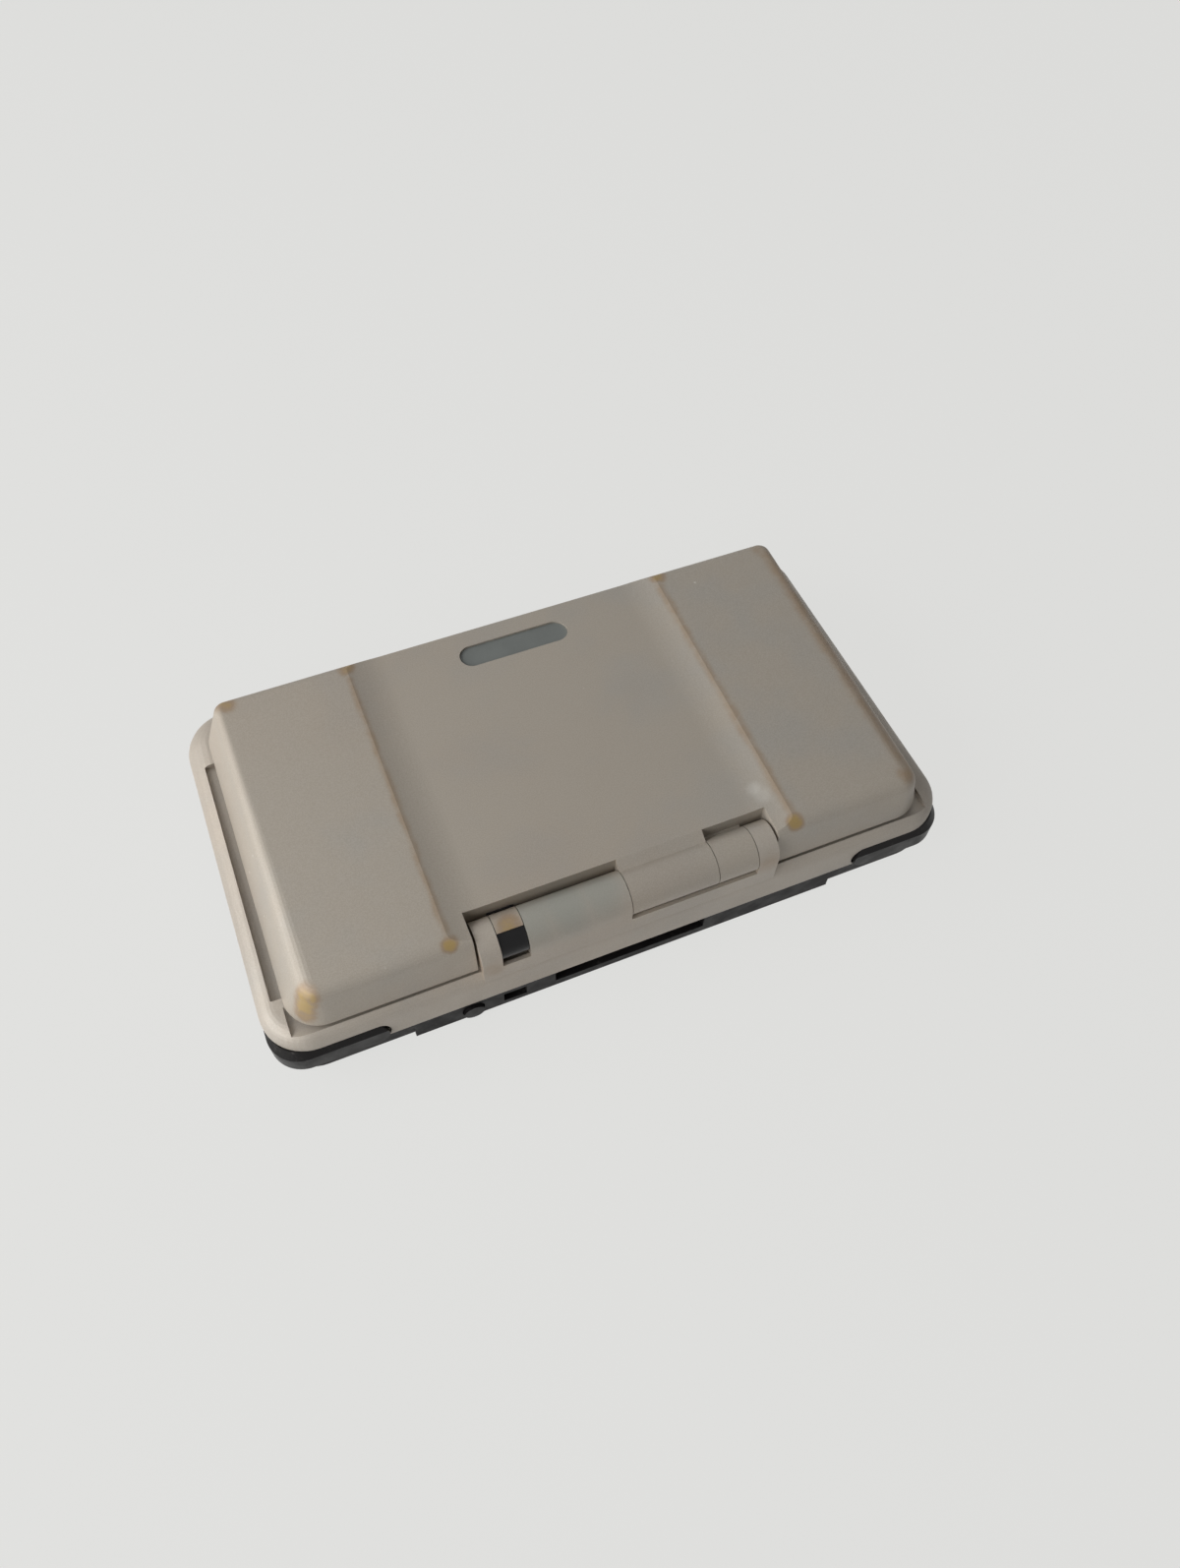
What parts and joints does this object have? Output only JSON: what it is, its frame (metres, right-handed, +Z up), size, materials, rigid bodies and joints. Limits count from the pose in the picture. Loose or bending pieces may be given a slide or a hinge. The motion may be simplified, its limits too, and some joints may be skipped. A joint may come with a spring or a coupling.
{
  "type": "clamshell handheld game console",
  "caption": "Folding handheld game console shown closed: base and lid on a barrel hinge, two displays inside, corner shoulder buttons, rear card slot, stylus and front sockets.",
  "frame": {"origin": "under the middle of the whole object, on the plane that its rubber feet stand on", "axes": "+Z up with the lid closed, +Y towards the hinge, +X towards the user's right hand"},
  "size_m": [0.1486, 0.0848, 0.0289],
  "materials": {
    "silver_paint": "satin metallic paint on plastic",
    "black_plastic": "fine texture",
    "black_gloss": "polished",
    "grey_plastic": "matt",
    "badge_grey": "satin",
    "dark_glass": "polished",
    "display_metal": "brushed",
    "steel": "turned",
    "board_green": "solder mask",
    "rubber": "matt",
    "amber_film": "polished film"
  },
  "bodies": {
    "base": {"base_upper_casing": "silver_paint", "base_lower_casing": "black_plastic", "touch_panel": "dark_glass", "lower_display": "display_metal", "mainboard": "board_green", "wireless_board": "board_green", "battery": "grey_plastic", "face_button_mat": "rubber", "small_button_mats": "rubber", "shoulder_pivots": "steel", "shoulder_springs": "steel", "shoulder_switches": "grey_plastic", "volume_slider_body": "steel", "headphone_socket": "black_plastic", "power_inlet": "grey_plastic", "card_connector": "grey_plastic", "cartridge_connector": "grey_plastic", "microphone": "steel", "led_light_pipes": "grey_plastic", "rubber_feet": "rubber", "base_screws": "steel", "hinge_pin_right": "steel", "hinge_pin_left": "steel", "base_ribbon": "amber_film"},
    "lid": {"lid_outer_cover": "silver_paint", "badge_inlay": "badge_grey", "lid_inner_frame": "silver_paint", "upper_display": "display_metal", "display_window": "dark_glass", "speakers": "grey_plastic", "lid_bumpers": "rubber", "lid_screws": "steel", "hinge_drum": "black_gloss", "hinge_drum_cap": "silver_paint", "hinge_barrel": "silver_paint", "hinge_spring": "steel", "hinge_cam": "grey_plastic", "lid_ribbon": "amber_film"},
    "control_pad_mat": {"control_pad_mat": "rubber"},
    "control_pad": {"control_pad": "black_plastic"},
    "button_a": {"button_a": "black_plastic"},
    "button_b": {"button_b": "black_plastic"},
    "button_x": {"button_x": "black_plastic"},
    "button_y": {"button_y": "black_plastic"},
    "start_button": {"start_button": "black_plastic"},
    "select_button": {"select_button": "black_plastic"},
    "power_button": {"power_button": "black_plastic"},
    "shoulder_button_right": {"shoulder_button_right": "black_plastic"},
    "shoulder_button_left": {"shoulder_button_left": "black_plastic"},
    "volume_slider": {"volume_slider": "black_plastic"},
    "stylus": {"stylus": "black_plastic"},
    "battery_cover": {"battery_cover": "black_plastic", "battery_cover_screw": "steel"}
  },
  "joints": [
    {"name": "lid_hinge", "type": "hinge", "parent": "base", "child": "lid", "pos_m": [0, 0.03685, 0.0226], "axis": [-1, 0, 0], "range_deg": [0, 160]},
    {"name": "pad_rock_fore_aft", "type": "hinge", "parent": "base", "child": "control_pad_mat", "pos_m": [-0.05395, -0.00135, 0.01255], "axis": [1, 0, 0], "range_deg": [-2.5, 2.5], "stiffness_Nm_per_rad": 0.6},
    {"name": "pad_rock_sideways", "type": "hinge", "parent": "control_pad_mat", "child": "control_pad", "pos_m": [-0.05395, -0.00135, 0.01255], "axis": [0, 1, 0], "range_deg": [-2.5, 2.5], "stiffness_Nm_per_rad": 0.6},
    {"name": "button_a_press", "type": "slide", "parent": "base", "child": "button_a", "axis": [0, 0, -1], "range_m": [0, 0.0009], "stiffness_N_per_m": 600},
    {"name": "button_b_press", "type": "slide", "parent": "base", "child": "button_b", "axis": [0, 0, -1], "range_m": [0, 0.0009], "stiffness_N_per_m": 600},
    {"name": "button_x_press", "type": "slide", "parent": "base", "child": "button_x", "axis": [0, 0, -1], "range_m": [0, 0.0009], "stiffness_N_per_m": 600},
    {"name": "button_y_press", "type": "slide", "parent": "base", "child": "button_y", "axis": [0, 0, -1], "range_m": [0, 0.0009], "stiffness_N_per_m": 600},
    {"name": "start_button_press", "type": "slide", "parent": "base", "child": "start_button", "axis": [0, 0, -1], "range_m": [0, 0.0009], "stiffness_N_per_m": 600},
    {"name": "select_button_press", "type": "slide", "parent": "base", "child": "select_button", "axis": [0, 0, -1], "range_m": [0, 0.0009], "stiffness_N_per_m": 600},
    {"name": "power_button_press", "type": "slide", "parent": "base", "child": "power_button", "axis": [0, 0, -1], "range_m": [0, 0.0009], "stiffness_N_per_m": 600},
    {"name": "shoulder_right_swing", "type": "hinge", "parent": "base", "child": "shoulder_button_right", "pos_m": [0.05465, 0.03715, 0.0095], "axis": [0, 0, -1], "range_deg": [0, 3.5], "stiffness_Nm_per_rad": 0.8},
    {"name": "shoulder_left_swing", "type": "hinge", "parent": "base", "child": "shoulder_button_left", "pos_m": [-0.05465, 0.03715, 0.0095], "axis": [0, 0, 1], "range_deg": [0, 3.5], "stiffness_Nm_per_rad": 0.8},
    {"name": "volume_slide", "type": "slide", "parent": "base", "child": "volume_slider", "axis": [1, 0, 0], "range_m": [-0.004, 0.004]},
    {"name": "stylus_slide", "type": "slide", "parent": "base", "child": "stylus", "axis": [0, 1, 0], "range_m": [0, 0.075]},
    {"name": "battery_cover_lift", "type": "slide", "parent": "base", "child": "battery_cover", "axis": [0, 0, -1], "range_m": [0, 0.02]}
  ]
}
